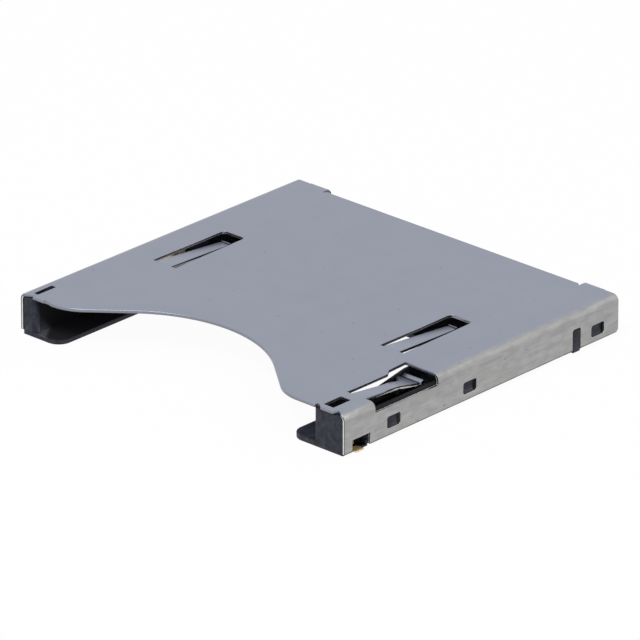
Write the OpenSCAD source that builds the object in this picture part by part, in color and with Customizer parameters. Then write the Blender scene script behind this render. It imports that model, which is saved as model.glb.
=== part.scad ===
// Push-push memory card socket for a circuit board.
// X runs across the slot, Y into the socket, Z up from the board face.

/* [Card] */
// Width of the card that goes in
card_w = 24; // [20:0.1:28]
// Side play of the card in its slot
card_play = 0.2; // [0.1:0.05:0.6]
// Travel of the slider from card out to fully pressed in
travel = 4.8; // [3.6:0.1:5]
// Travel at which the pin drops into the heart's notch
lock_travel = 4.1; // [3:0.1:4.3]

/* [Shell] */
// Width of the shell left of the slot
left_w = 1.35; // [1.2:0.05:2]
// Width of the shell right of the slot, over the slider's channel
right_w = 2.65; // [2.6:0.05:3]
// Depth of the top plate
shell_d = 25.3; // [25:0.1:30]
// Height of the top plate over the board
shell_h = 2.85; // [2.8:0.05:3.4]
// Thickness of the sheet
sheet_t = 0.2; // [0.15:0.01:0.25]
// Outer radius of the bends
bend_r = 0.45; // [0.35:0.05:0.6]
// Gap between the board and the walls' lower edge
wall_lift = 0.3; // [0.25:0.05:0.4]
// Length of the side walls past the top plate
wall_extra = 0.35; // [0.2:0.05:0.5]
// Radius of the walls' lower rear corner
wall_corner_r = 0.28; // [0.1:0.02:0.5]
// Gap between the shell and the housing
shell_fit = 0.03; // [0.02:0.01:0.06]

/* [Mouth] */
// Depth of the concave front edge
mouth_depth = 5; // [3:0.1:7]
// Radius of the hollow curve
mouth_r = 9.5; // [8:0.1:11]
// Radius that blends the curve into the straight edge
mouth_blend_r = 3.3; // [2:0.1:4]
// Slope of the mouth's flanks
mouth_angle = 39.6; // [32:0.1:42]

/* [Front edge] */
// Distance from a side wall's outer face to the inner end of its corner lip
lip_in = 2.07; // [1.9:0.01:2.2]
// Width of a corner lip
lip_w = 0.97; // [0.6:0.01:1.1]
// Width of the notch beside a lip
lip_notch_w = 0.5; // [0.2:0.05:0.6]
// Depth of the right notch
lip_notch_d = 0.26; // [0.1:0.01:0.5]
// Depth of the left notch
lip_notch_left = 0.06; // [0.02:0.01:0.3]
// Depth of the right relief between lip and bend
relief_d = 0.3; // [0.06:0.01:0.4]
// Depth of the left relief, which slants in from the bend to its lip
relief_left = 0.28; // [0.06:0.01:0.4]

/* [Tongues] */
// Distance of a tongue's root from the slot's wall, to its centre
tongue_in = 2.19; // [1.9:0.01:3]
// Width of a tongue at its root
tongue_w = 1.3; // [1:0.02:1.5]
// Width of its tip
tongue_tip_w = 0.62; // [0.4:0.02:1]
// How far the tip's left edge lies in from the root's
tongue_lean = 0.1; // [0:0.02:0.3]
// Root of a tongue, from the front edge
tongue_y = 9.5; // [8.9:0.1:11]
// Length from the root to the crease
tongue_l = 5.85; // [4:0.05:5.9]
// Length of the upturned tip
tongue_tip_l = 0.28; // [0.2:0.02:0.6]
// Drop of the crease below the plate
tongue_drop = 0.46; // [0.2:0.02:0.5]
// Width of the slits beside a tongue
tongue_slit = 0.27; // [0.15:0.01:0.3]
// Gap past the tip of a tongue
tongue_end_gap = 0.47; // [0.2:0.01:0.8]
// Radius of the opening's rear corners
tongue_slot_r = 0.3; // [0.1:0.05:0.4]

/* [Latch finger] */
// Root of the finger, from the front edge
finger_y = 2.8; // [2.6:0.05:3.2]
// Length from the root to the crease
finger_l = 5; // [4.6:0.05:5.2]
// Length of the upturned tip
finger_tip_l = 0.42; // [0.2:0.02:0.6]
// Rise of the tip past the crease
finger_tip_rise = 0.13; // [0:0.01:0.2]
// Left edge of the finger's root, from the shell's right wall
finger_in = 2.05; // [2:0.01:2.1]
// Width of the root
finger_w = 1.15; // [1:0.01:1.25]
// How much the shank narrows on its left
finger_taper = 0.23; // [0.1:0.01:0.3]
// How far the head stands out to the left of the root
finger_head = 0.46; // [0.3:0.02:0.46]
// Length of the head up to the crease
finger_head_l = 0.4; // [0.3:0.05:0.6]
// Length of the head's slanted shoulder
finger_shoulder = 0.5; // [0.3:0.05:0.6]
// Width of the slit to the left of the root
finger_slit = 0.25; // [0.15:0.01:0.3]
// How far the opening widens beside the head
finger_widen = 0.35; // [0.25:0.01:0.4]
// Gap past the finger's tip
finger_end_gap = 0.38; // [0.2:0.02:0.6]
// Height of the sill that the opening leaves in the side wall
finger_sill = 2.12; // [2.06:0.01:2.3]
// Height of the moulding's wall over that sill
sill_wall = 0.07; // [0.05:0.01:0.2]
// Clearance between the finger and the pin under it
finger_fit = 0.03; // [0.02:0.01:0.06]

/* [Wall openings] */
// Front end of the first snap window
window_1_y = 3.88; // [3.2:0.02:4.4]
// Front end of the second snap window
window_2_y = 10.93; // [10:0.02:12]
// Front end of the rear snap window, forward of the plate's rear edge
window_3_back = 2.24; // [1.8:0.02:2.6]
// Length of a snap window
window_l = 1.22; // [0.8:0.02:1.4]
// Lower edge of the windows over the board
window_z = 0.69; // [0.5:0.01:0.9]
// Height of a window
window_h = 0.78; // [0.5:0.01:1]
// Front end of the slot for the rear post, forward of the plate's rear edge
post_back = 4.03; // [3.6:0.01:4.8]
// Length of that slot
post_l = 0.76; // [0.5:0.02:1]
// Top of that slot over the board
post_top = 1.75; // [1.2:0.05:2]
// Corner radius of the windows and of the slot's top
window_r = 0.16; // [0.08:0.01:0.22]
// Front end of the notch over a solder nail
nail_notch_y = 0.7; // [0.5:0.05:0.9]
// Length of that notch
nail_notch_l = 1.6; // [1.2:0.05:1.7]
// Top of that notch over the board
nail_notch_top = 0.95; // [0.7:0.05:1.2]
// Size across and along of the opening over the pin's pivot
pivot_window = [0.8, 1.55];
// Size across and along of the slot at the left front
left_slot = [0.35, 1.63];
// Front end of those two openings
pivot_window_y = 0.45; // [0.4:0.05:0.6]

/* [Rear tabs] */
// Distance from a side wall's outer face to its rear tab
ear_in = 1.32; // [1.3:0.02:1.8]
// Width of a rear tab
ear_w = 1.58; // [1:0.02:1.6]
// Reach of a rear tab past the side walls
ear_past = 0.35; // [0.2:0.01:0.4]
// Width of its solder leg
ear_leg_w = 0.95; // [0.6:0.05:1]
// Width of the relief on a tab's inner side
ear_relief_w = 0.22; // [0.1:0.02:0.5]
// Width of the slit on its outer side
ear_slit = 0.06; // [0.06:0.01:0.2]
// Depth of the relief
ear_relief_d = 0.15; // [0.1:0.01:0.5]

/* [Housing] */
// Thickness of the floor
floor_t = 0.35; // [0.3:0.05:0.4]
// Inner edge of the floor flanges, from the slot's walls
flange_w = 1.95; // [1:0.05:2.5]
// Radius of the flanges' front corners
flange_r = 0.95; // [0.4:0.05:1.2]
// Setback of the moulding from the shell's front edge
front_setback = 0.03; // [0.02:0.01:0.1]
// Length of the block at the front of the slider's channel
block_l = 2.6; // [2.55:0.05:2.75]
// Width of the lead-in bevels at the slot's front
lead_in = 0.36; // [0.1:0.02:0.5]
// Depth of the left bevel
lead_left = 0.32; // [0.1:0.02:0.5]
// Depth of the right bevel
lead_right = 0.12; // [0.06:0.02:0.5]
// Width of the rebate under the walls
rebate_w = 0.2; // [0.1:0.01:0.24]
// Thickness of the wall outside the slider's channel
outer_wall_t = 0.39; // [0.3:0.01:0.45]
// Length of the contact block's floor
rear_floor_l = 8.17; // [8:0.01:10]
// Length of that floor's solid front bar
floor_bar_l = 4; // [3.6:0.1:4.4]
// Thickness of the rear wall
rear_wall_t = 0.8; // [0.7:0.05:0.85]
// Width of the rib between channel and slot
rib_w = 0.3; // [0.2:0.05:0.5]
// Height of that rib
rib_h = 0.95; // [0.6:0.05:0.98]
// Reach of a snap lug into its window
lug_reach = 0.19; // [0.1:0.01:0.22]
// Gap around a lug or post in its window
lug_gap = 0.04; // [0.02:0.01:0.08]
// Diameter of the ejector marks under the floor
mark_d = 1.1; // [0.6:0.1:1.5]
// Depth of those marks
mark_t = 0.03; // [0.02:0.01:0.06]
// Share of a window's length that its lug takes
lug_share = 0.7; // [0.5:0.05:0.9]

/* [Contacts] */
// Distance of the last contact from the card's left edge
contact_left = 1.675; // [1.5:0.005:2]
// Distance of the ninth contact from the card's right edge
contact_right = 3.125; // [2.8:0.005:3.5]
// Pitch of the last contact on the left
last_pitch = 1.7; // [1.5:0.05:1.8]
// Width of a contact
contact_w = 0.6; // [0.4:0.02:0.66]
// Thickness of the contact strip
contact_t = 0.15; // [0.1:0.01:0.16]
// Contact point, measured forward from the rear wall
contact_reach = 4.1; // [3.4:0.1:4.6]
// How much further forward the ground and supply contacts reach
contact_lead = 0.6; // [0:0.1:0.9]
// Top of the contact points over the board
contact_z = 1.6; // [1.2:0.05:1.7]
// Height of the strips where they leave the rear wall
contact_root_z = 0.52; // [0.5:0.01:0.6]
// Length of the dipped tip ahead of a contact point
contact_tip_l = 0.75; // [0.4:0.05:1]
// Bend radius of the strips, to their middle
strip_bend = 0.17; // [0.14:0.01:0.18]
// Reach of the solder tails past the housing
tail_l = 1; // [0.6:0.05:1.4]
// Gap around a strip in the moulding
strip_fit = 0.02; // [0.01:0.01:0.04]

/* [Switches and nails] */
// Rear end of the write-protect switch, forward of the rear wall
protect_back = 10.17; // [9.4:0.01:11]
// Rear end of the card-detect switch, forward of the rear wall
detect_back = 1.87; // [1.4:0.01:2.4]
// Length of a switch
switch_l = 4.4; // [4.2:0.1:5]
// Width of the switch springs, upwards
switch_h = 0.9; // [0.6:0.05:1]
// Lower edge of the switch springs
switch_z = 1.2; // [1:0.05:1.3]
// Reach of a switch spring into the slot
switch_reach = 0.4; // [0.2:0.05:0.6]
// Thickness of the switch and nail strips
leaf_t = 0.12; // [0.1:0.01:0.14]
// Width of a switch's solder tail
leg_w = 0.5; // [0.4:0.02:0.6]
// Distance of the switch legs from the rail's outer face
leg_inset = 0.55; // [0.5:0.01:0.6]
// Thickness of the rail behind a switch
recess_wall = 0.38; // [0.3:0.01:0.42]
// Distance of a nail from the moulding's outer face
nail_inset = 0.7; // [0.5:0.01:0.75]
// Width of a solder nail
nail_w = 0.75; // [0.5:0.05:0.85]
// Height of a solder nail
nail_h = 1.15; // [1:0.05:1.4]

/* [Slider] */
// Width of the slider
slider_w = 2; // [1.9:0.02:2.02]
// Gap between the slider and its channel
run_fit = 0.06; // [0.04:0.01:0.08]
// Gap behind the slider when it is fully pressed in
slider_back = 1.17; // [0.6:0.01:1.6]
// Height of the cam plate over the board
cam_top = 1.55; // [1.5:0.01:1.57]
// Length of the cam plate
cam_l = 6.5; // [6.45:0.05:7]
// Thickness of the fin along the cam plate's inner edge
fin_t = 0.11; // [0.1:0.01:0.12]
// Length of the slope on which the fin rises to the slider's top
fin_l = 5.6; // [4:0.1:6]
// Thickness of the wall in front of the spring pocket
pocket_front = 2; // [1.6:0.05:2.4]
// Wall thickness beside the spring pocket
pocket_wall = 0.28; // [0.2:0.02:0.32]
// Reach of the card arm into the slot
arm_reach = 1.3; // [0.8:0.1:1.5]
// Length of the card arm
arm_l = 3.4; // [3:0.1:4]
// Lower face of the card arm over the board
arm_z = 1.08; // [1.06:0.01:1.2]
// Height of the card arm
arm_h = 1.3; // [1:0.05:1.4]

/* [Cam pin and spring] */
// Diameter of the pin's wire
pin_d = 0.4; // [0.36:0.02:0.42]
// Radius of the pin's bends, to the wire's centre
pin_bend_r = 0.34; // [0.26:0.02:0.4]
// Pivot of the pin, from the front edge
pivot_y = 1.25; // [1.2:0.05:1.4]
// Floor of the pivot hole over the board
pivot_floor = 0.75; // [0.6:0.05:0.9]
// Length of the pin between its legs
pin_l = 7.6; // [7.5:0.05:7.7]
// Running gap around the pin's legs
pin_fit = 0.03; // [0.02:0.01:0.03]
// Sideways swing of the pin's tip over the travel
cam_swing = 0.62; // [0.56:0.01:0.64]
// Depth of the cam groove's entry lane
cam_depth = 0.46; // [0.44:0.02:0.5]
// Step between one cam lane's floor and the next
cam_step = 0.06; // [0.02:0.01:0.07]
// Diameter of the spring's wire
spring_d = 0.2; // [0.15:0.01:0.24]
// Gap between the spring and its pocket
spring_fit = 0.05; // [0.04:0.01:0.08]
// Length of the peg that guides the spring's rear end
peg_l = 1.4; // [0.8:0.1:2]
// Turns of the spring
spring_turns = 17; // [10:1:20]

/* [Hidden] */
$fn = 48;
through = 20;
lap = 0.1;
stop_gap = 0.1;

shell_w = left_w + card_w + card_play + right_w;
half_w = shell_w / 2;
card_x = (left_w - right_w) / 2;
under = shell_h - sheet_t;
wall_d = shell_d + wall_extra;
body_x = half_w - sheet_t - shell_fit;
body_top = under - shell_fit;
body_r = bend_r - sheet_t;
rear_out = shell_d - shell_fit;
rear_in = rear_out - rear_wall_t;
ear_out = wall_d + ear_past;
tail_end = rear_out + tail_l;
mid_y = tail_end / 2;
contact_pitch = (card_w - contact_left - contact_right - last_pitch) / 7;
contact_1_x = card_w / 2 - contact_right - contact_pitch;
rear_floor_y = rear_in - rear_floor_l;
window_y = [window_1_y, window_2_y, shell_d - window_3_back];
post_y = shell_d - post_back;
protect_y = rear_in - protect_back;
detect_y = rear_in - detect_back;

slot_left = card_x - (card_w + card_play) / 2;
slot_right = card_x + (card_w + card_play) / 2;
channel_out = body_x - outer_wall_t;
slider_x = channel_out - run_fit - slider_w / 2;
channel_in = channel_out - slider_w - 2 * run_fit;
slider_y = block_l + stop_gap;
slider_z = floor_t + run_fit;
slider_end = rear_in - travel - slider_back;
slider_l = slider_end - slider_y;

lip_x = half_w - lip_in;
ear_x = half_w - ear_in;
mouth_peak = mouth_depth - mouth_r + mouth_r / cos(mouth_angle);
mouth_foot = mouth_peak / tan(mouth_angle);

tongue_x = (card_w + card_play) / 2 - tongue_in;
finger_x = half_w - finger_in;
finger_end = finger_y + finger_l + finger_tip_l;
finger_right = finger_x + finger_w;
head_y = finger_y + finger_l - finger_head_l;
pin_y = pivot_y + pin_l;
pin_z = cam_top + run_fit + pin_d / 2;
finger_low = pin_z + pin_d / 2 + finger_fit;
pin_foot = cam_top - cam_depth + run_fit;
hole_r = pin_d / 2 + pin_fit;
lane_r = pin_d / 2 + 1.5 * pin_fit;

pocket_w = slider_w - 2 * pocket_wall;
pocket_y = slider_y + cam_l + pocket_front;
spring_r = pocket_w / 2 - spring_fit - spring_d / 2;
spring_z = slider_z + pocket_wall + pocket_w / 2;
peg_r = spring_r - spring_d / 2 - spring_fit;

leg_x = -body_x + leg_inset;
recess_x = -body_x + recess_wall;
recess_gap = 0.1;
nail_x = body_x - nail_inset;
strip_z = leaf_t / 2;
beam_gap = 0.2;
pin_room = cam_swing + 0.13;

steel = "#9b9fab";
plastic = "#2d2f36";
gold = "#c8a24c";
spring_steel = "#b9bcc2";

// Unit vector along v
function unit(v) = v / norm(v);
// Vector v turned by angle a
function turned(v, a) = [v[0] * cos(a) - v[1] * sin(a), v[0] * sin(a) + v[1] * cos(a)];
// Points of the arc of radius r that rounds the corner b between a and c
function corner(a, b, c, r) =
    let (n = max(5, ceil(2.5 * r)))
    let (u = unit(a - b), v = unit(c - b), half = acos(u * v) / 2)
    let (centre = b + unit(u + v) * r / sin(half), start = b + u * r / tan(half))
    let (way = sign(cross(b - a, c - b)) * (180 - 2 * half))
    [for (i = [0:n]) centre + turned(start - centre, way * i / n)];
// Path with its inner corners rounded by the radii in turn
function rounded(path, radii) = [
    path[0],
    for (i = [1:len(path) - 2]) each corner(path[i - 1], path[i], path[i + 1], radii[i - 1]),
    path[len(path) - 1]
];
// Path shifted sideways by d, with mitred corners
function beside(path, d) = [
    for (i = [0:len(path) - 1])
        let (a = unit(path[max(i, 1)] - path[max(i, 1) - 1]))
        let (j = min(i, len(path) - 2), b = unit(path[j + 1] - path[j]))
        let (na = turned(a, 90), n = unit(na + turned(b, 90)))
        path[i] + n * d / (n * na)
];
function backward(path) = [for (i = [len(path) - 1:-1:0]) path[i]];

// Box between two opposite corners
module block(low, high) {
    translate(low) cube(high - low);
}

// Bent strip of thickness t and width w along a path in the drawing plane
module strip(path, t, w) {
    linear_extrude(w, center = true) polygon(concat(beside(path, t / 2), backward(beside(path, -t / 2))));
}

// Turns a drawing of depth and height so that its width runs across the socket
module across(x) {
    translate([x, 0, 0]) rotate([90, 0, 90]) children();
}

// Turns a drawing of across and height so that its width runs along the socket
module along(y) {
    translate([0, y, 0]) rotate([90, 0, 0]) children();
}

// Moves the front edge back so that the origin lies under the centre
module placed(shade) {
    color(shade) translate([0, -mid_y, 0]) children();
}

// Both sides of the socket
module sides() {
    children();
    mirror([1, 0, 0]) children();
}

// Section of a channel with rounded upper corners
module arch(w, low, high, r) {
    translate([-w / 2, low]) square([w, high - low - r]);
    translate([-w / 2 + r, low]) square([w - 2 * r, high - low]);
    for (s = [-1, 1]) translate([s * (w / 2 - r), high - r]) circle(r);
}

// Plan of the concave cut in the front edge
module mouth() {
    edge = [[-mouth_foot - mouth_blend_r, 0], [-mouth_foot, 0], [0, mouth_peak], [mouth_foot, 0],
        [mouth_foot + mouth_blend_r, 0]];
    translate([card_x, 0]) polygon(concat([[-mouth_foot, -1]],
        rounded(edge, [mouth_blend_r, mouth_r, mouth_blend_r]), [[mouth_foot, -1]]));
}

// Plan of the opening around the latch finger
module finger_opening() {
    left = finger_x - finger_slit;
    step_y = head_y - 0.4;
    far = finger_end + finger_end_gap;
    polygon([[left, finger_y], [left, step_y - finger_shoulder], [left - finger_widen, step_y],
        [left - 1.2 * finger_widen, far], [half_w + 1, far], [half_w + 1, finger_y]]);
}

// Plan of the finger, with its widened head
module finger_plan() {
    left = finger_x - finger_head;
    neck = finger_x + finger_taper;
    polygon([[finger_x, 0], [finger_x, finger_y], [neck, finger_y + finger_l / 2],
        [neck, head_y - finger_shoulder], [left, head_y], [left, finger_end + 1],
        [finger_right, finger_end + 1], [finger_right, 0]]);
}

// Latch finger: a leaf that slopes down to a crease and turns up again at its tip
module finger() {
    mid_z = shell_h - sheet_t / 2;
    low_z = finger_low + sheet_t / 2;
    drop = mid_z - low_z;
    path = [[finger_y - lap, mid_z], [finger_y + lap, mid_z],
        [finger_y + finger_l * 0.62, mid_z - drop * 0.36], [finger_y + finger_l, low_z],
        [finger_end, low_z + finger_tip_rise]];
    intersection() {
        across(finger_x + finger_w / 2) strip(rounded(path, [2, 2, 0.12]), sheet_t, 4);
        linear_extrude(shell_h + 1) finger_plan();
    }
}

// Plan of a tongue, which narrows to its tip
module tongue_plan(x) {
    root = x - tongue_w / 2;
    tip = root + tongue_lean;
    end = tongue_y + tongue_l + tongue_tip_l + 1;
    polygon([[root, 0], [root, tongue_y], [tip, end], [tip + tongue_tip_w, end],
        [root + tongue_w, tongue_y], [root + tongue_w, 0]]);
}

// Tongue that presses on the card, rooted at its front end
module tongue(x) {
    mid_z = shell_h - sheet_t / 2;
    crease = [tongue_y + tongue_l, mid_z - tongue_drop];
    path = [[tongue_y - lap, mid_z], [tongue_y + lap, mid_z], crease,
        crease + [tongue_tip_l, tongue_tip_l * 0.5]];
    intersection() {
        across(x) strip(rounded(path, [1.5, 0.12]), sheet_t, 2 * tongue_w);
        linear_extrude(shell_h + 1) tongue_plan(x);
    }
}

// Rear tab: bent down behind the housing, with a narrower leg to the board
module ear() {
    mid_z = shell_h - sheet_t / 2;
    rear = ear_out - sheet_t / 2;
    path = [[shell_d - ear_relief_d - 0.1, mid_z], [rear, mid_z], [rear, 0]];
    intersection() {
        across(ear_x - ear_w / 2) strip(rounded(path, [bend_r - sheet_t / 2]), sheet_t, ear_w);
        union() {
            block([ear_x - ear_w - 1, 0, wall_lift + 0.6], [ear_x + 1, through * 2, shell_h + 1]);
            block([ear_x - ear_leg_w, 0, 0], [ear_x + 1, through * 2, shell_h]);
        }
    }
}

// Opening in a side wall from y over length l, between two heights, with rounded corners
module wall_window(y, l, low, high) {
    r = window_r;
    block([half_w - 1, y, low + r], [half_w + 1, y + l, high - r]);
    block([half_w - 1, y + r, low], [half_w + 1, y + l - r, high]);
    for (a = [y + r, y + l - r], b = [low + r, high - r])
        translate([half_w - 1, a, b]) rotate([0, 90, 0]) cylinder(r = r, h = 2);
}

// Openings that both side walls have
module wall_openings() {
    for (y = window_y) wall_window(y, window_l, window_z, window_z + window_h);
    wall_window(post_y, post_l, -1, post_top);
    block([half_w - 1, nail_notch_y, -1], [half_w + 1, nail_notch_y + nail_notch_l, nail_notch_top]);
    difference() {
        block([half_w - 1, wall_d - wall_corner_r, -1], [half_w + 1, wall_d + 1, wall_lift + wall_corner_r]);
        translate([half_w - 2, wall_d - wall_corner_r, wall_lift + wall_corner_r]) rotate([0, 90, 0])
            cylinder(r = wall_corner_r, h = 4);
    }
}

// Openings in the top plate that are the same on both sides
module plate_edges() {
    block([-1, shell_d, under - 1], [ear_x - ear_w, wall_d + 1, shell_h + 1]);
    block([ear_x - ear_w - ear_relief_w, shell_d - ear_relief_d, under - 1],
        [ear_x - ear_slit, wall_d + 1, shell_h + 1]);
    block([ear_x - 2 * ear_slit, ear_out - bend_r - 0.02, under - 1],
        [ear_x + ear_slit, wall_d + 1, shell_h + 1]);
}

// Relief beside the right bend, by points of its edge: share of the way from lip to bend, and depth
module bend_relief(edge) {
    lip_end = lip_x + lip_w;
    way = half_w - bend_r + 0.05 - lip_end;
    plan = [for (p = edge) [lip_end + p[0] * way, p[1]]];
    translate([0, 0, shell_h - bend_r]) linear_extrude(through)
        polygon(concat([[lip_end, -1]], plan, [[lip_end + way, -1]]));
}

// Notch of depth d beside the right lip, whose end slants over a length
module lip_notch(d, slant) {
    inner = lip_x - lip_notch_w;
    translate([0, 0, under - 1]) linear_extrude(through)
        polygon([[inner, -1], [inner, d], [lip_x - slant, d], [lip_x, 0], [lip_x, -1]]);
}

// Opening around a tongue, rounded behind its tip
module tongue_slot(x) {
    w = tongue_w / 2 + tongue_slit;
    end = tongue_y + tongue_l + tongue_tip_l + tongue_end_gap;
    outline = [[x - w, tongue_y], [x - w, end], [x + w, end], [x + w + tongue_slit / 3, tongue_y]];
    translate([0, 0, under - 1]) linear_extrude(through)
        polygon(rounded(outline, tongue_slot_r * [1, 1]));
}

module shell() {
    placed(steel) {
        difference() {
            along(wall_d) linear_extrude(wall_d) difference() {
                arch(shell_w, wall_lift, shell_h, bend_r);
                arch(shell_w - 2 * sheet_t, wall_lift - 1, under, bend_r - sheet_t);
            }
            translate([0, 0, under - 1]) linear_extrude(through) mouth();
            sides() {
                wall_openings();
                plate_edges();
            }
            lip_notch(lip_notch_d, 0.7 * lip_notch_w);
            bend_relief([[0, 0], [0.35, relief_d], [1, relief_d / 3]]);
            mirror([1, 0, 0]) {
                lip_notch(lip_notch_left, 0);
                bend_relief([[0, relief_left], [1, relief_left / 8]]);
            }
            for (s = [-1, 1]) tongue_slot(card_x + s * tongue_x);
            translate([0, 0, finger_sill]) linear_extrude(through) finger_opening();
            translate([slider_x - pivot_window[0] / 2 - 0.12, pivot_window_y, under - 1])
                cube([pivot_window[0], pivot_window[1], through]);
            translate([-half_w + bend_r + 0.3, pivot_window_y, under - 1])
                cube([left_slot[0], left_slot[1], through]);
        }
        for (s = [-1, 1]) tongue(card_x + s * tongue_x);
        finger();
        sides() ear();
    }
}

// Centre of contact k, counted as on the card
function contact_x(k) = card_x + contact_1_x
    + (k == 9 ? contact_pitch : k == 8 ? -6 * contact_pitch - last_pitch : -(k - 1) * contact_pitch);
// Contact point of contact k, forward of the rear wall
function contact_y(k) = rear_in - contact_reach
    - (k == 3 || k == 4 || k == 6 ? contact_lead : k == 9 ? 2 * contact_lead : 0);

// Contact spring k: solder tail, riser in the rear wall and beam up to the contact point
module contact_blank(k, grow = 0) {
    riser = rear_in + rear_wall_t / 2;
    path = [[tail_end + grow, contact_t / 2], [riser, contact_t / 2], [riser, contact_root_z],
        [rear_in - contact_t * 3, contact_root_z], [contact_y(k), contact_z],
        [contact_y(k) - contact_tip_l, contact_z - contact_tip_l * 0.67]];
    bends = strip_bend * [1, 1, 4.7, 2.4];
    across(contact_x(k)) strip(rounded(path, bends), contact_t + 2 * grow, contact_w + 2 * grow);
}

module contact(k) {
    placed(gold) contact_blank(k);
}

// Solder tail and leg of a switch piece, bent under the left wall
module leg_blank(y, grow = 0) {
    path = [[-half_w - grow, strip_z], [leg_x, strip_z], [leg_x, switch_z + switch_h]];
    along(y) strip(rounded(path, [strip_bend]), leaf_t + 2 * grow, leg_w + 2 * grow);
}

// Switch spring: its blade bows into the slot ahead of the leg
module switch_spring(end) {
    y = end - leg_w;
    bow = slot_left + switch_reach;
    path = [[leg_x, end - leg_w / 2], [leg_x, y - switch_l * 0.07], [bow, y - switch_l * 0.36],
        [leg_x + leg_inset * 0.64, y - switch_l * 0.64]];
    leg_blank(end - leg_w / 2);
    bends = switch_l * [0.07, 0.11];
    translate([0, 0, switch_z + switch_h / 2]) strip(rounded(path, bends), leaf_t, switch_h);
}

// Fixed terminal: a flat blade behind the tip of the switch spring
module switch_terminal(end) {
    y = end - switch_l + leg_w / 2;
    leg_blank(y);
    block([leg_x - leaf_t / 2, y, switch_z], [leg_x + leaf_t / 2, y + switch_l * 0.3, switch_z + switch_h]);
}

// Solder nail at the front of the right wall
module nail_blank(grow = 0) {
    path = [[half_w + grow, strip_z], [nail_x, strip_z], [nail_x, nail_h + grow]];
    along(nail_notch_y + nail_notch_l * 0.42)
        strip(rounded(path, [strip_bend]), leaf_t + 2 * grow, nail_w + 2 * grow);
}

// Plan of a floor flange with its rounded front corner, for the right side
module flange_plan(edge) {
    difference() {
        translate([edge, front_setback]) square([body_x - edge, rear_in - front_setback]);
        difference() {
            translate([edge - 1, front_setback - 1]) square(flange_r + 1);
            translate([edge + flange_r, front_setback + flange_r]) circle(flange_r);
        }
    }
}

// Snap lug, with a slope on which the wall slides down
module lug(y) {
    low = window_z + lug_gap;
    high = window_z + window_h * 0.8;
    root = body_x - lap;
    along(y + lug_gap + window_l * lug_share) linear_extrude(window_l * lug_share)
        polygon([[root, low], [body_x + shell_fit + lug_reach, low],
            [body_x + shell_fit + lug_reach, low + 0.2], [body_x, high], [root, high]]);
}

// Moulded solids of both walls, the floor and the rear wall
module housing_mass() {
    block([-body_x, front_setback, 0], [slot_left, rear_out, body_top]);
    block([channel_out, front_setback, 0], [body_x, rear_out, body_top]);
    block([slot_right, front_setback, 0], [body_x, block_l, body_top]);
    block([-body_x, rear_in, 0], [body_x, rear_out, body_top]);
    block([-body_x, rear_floor_y, 0], [body_x, rear_out, floor_t]);
    block([channel_in - rib_w, block_l - lap, 0], [channel_in, rear_out, rib_h]);
    linear_extrude(floor_t) flange_plan(slot_right - flange_w);
    mirror([1, 0, 0]) linear_extrude(floor_t) flange_plan(-slot_left - flange_w);
}

// Bevel of depth d on the front edge of a slot wall at x, facing s
module lead_bevel(x, s, d) {
    translate([x, front_setback, floor_t]) linear_extrude(through)
        polygon([[s * lead_in, 0], [s * lead_in, -1], [-s * 1, -1], [-s * 1, d], [0, d]]);
}

// Recess in the left rail for a switch
module switch_recess(end) {
    block([recess_x, end - switch_l - recess_gap, switch_z - recess_gap],
        [slot_left + 1, end + recess_gap, switch_z + switch_h + recess_gap]);
    leg_blank(end - leg_w / 2, strip_fit);
    leg_blank(end - switch_l + leg_w / 2, strip_fit);
}

// Shallow round marks that the ejectors leave under the flanges and the floor's bar
module ejector_marks() {
    flange = flange_w * 0.45;
    places = [for (x = [slot_left + flange, slot_right - flange], y = [0.16, 0.5]) [x, shell_d * y]];
    bar = [for (s = [-1, 1]) [card_x + s * card_w * 0.22, rear_floor_y + floor_bar_l / 2]];
    for (at = concat(places, bar)) translate([at[0], at[1], -1]) cylinder(d = mark_d, h = 1 + mark_t);
}

module housing() {
    placed(plastic) {
        difference() {
            intersection() {
                housing_mass();
                along(rear_out) linear_extrude(rear_out) arch(2 * body_x, 0, body_top, body_r);
            }
            lead_bevel(slot_left, -1, lead_left);
            lead_bevel(slot_right, 1, lead_right);
            block([slider_x - pin_room, pivot_y - pin_d, pin_z - pin_d / 2 - run_fit],
                [slider_x + pin_d, block_l + 1, through]);
            translate([slider_x, pivot_y, pivot_floor]) cylinder(r = hole_r, h = through);
            block([channel_out - 1, block_l, finger_sill + sill_wall],
                [through, finger_end + 2 * finger_end_gap, through]);
            for (k = [1:9]) {
                contact_blank(k, strip_fit);
                x = contact_x(k);
                block([x - contact_w / 2 - beam_gap, rear_floor_y + floor_bar_l, -1],
                    [x + contact_w / 2 + beam_gap, rear_in - 0.9, through]);
            }
            switch_recess(protect_y);
            switch_recess(detect_y);
            ejector_marks();
            sides() {
                nail_blank(strip_fit);
                block([nail_x - leaf_t / 2 - strip_fit, nail_notch_y, leaf_t + strip_fit],
                    [through, nail_notch_y + nail_notch_l, nail_notch_top]);
                block([body_x - rebate_w, nail_notch_y + nail_notch_l, -1],
                    [through, through * 2, wall_lift + 0.02]);
            }
        }
        sides() {
            for (y = window_y) lug(y);
            block([body_x - lap, post_y + lug_gap, wall_lift / 2],
                [half_w - lug_gap / 2, post_y + post_l - lug_gap, post_top - 2 * lug_gap]);
        }
        translate([slider_x, rear_in + lap, spring_z]) rotate([90, 0, 0])
            cylinder(r = peg_r, h = peg_l + lap);
    }
}

// Straight lane of the cam groove between two places of the pin's tip
module lane(from, to, step) {
    floor_z = cam_top - cam_depth - step * cam_step;
    way = to - from;
    translate([from[0], from[1], floor_z]) rotate([0, 0, atan2(way[1], way[0])])
        translate([0, -lane_r, 0]) cube([norm(way), 2 * lane_r, through]);
    for (p = [from, to]) translate([p[0], p[1], floor_z]) cylinder(r = lane_r, h = through);
}

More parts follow.
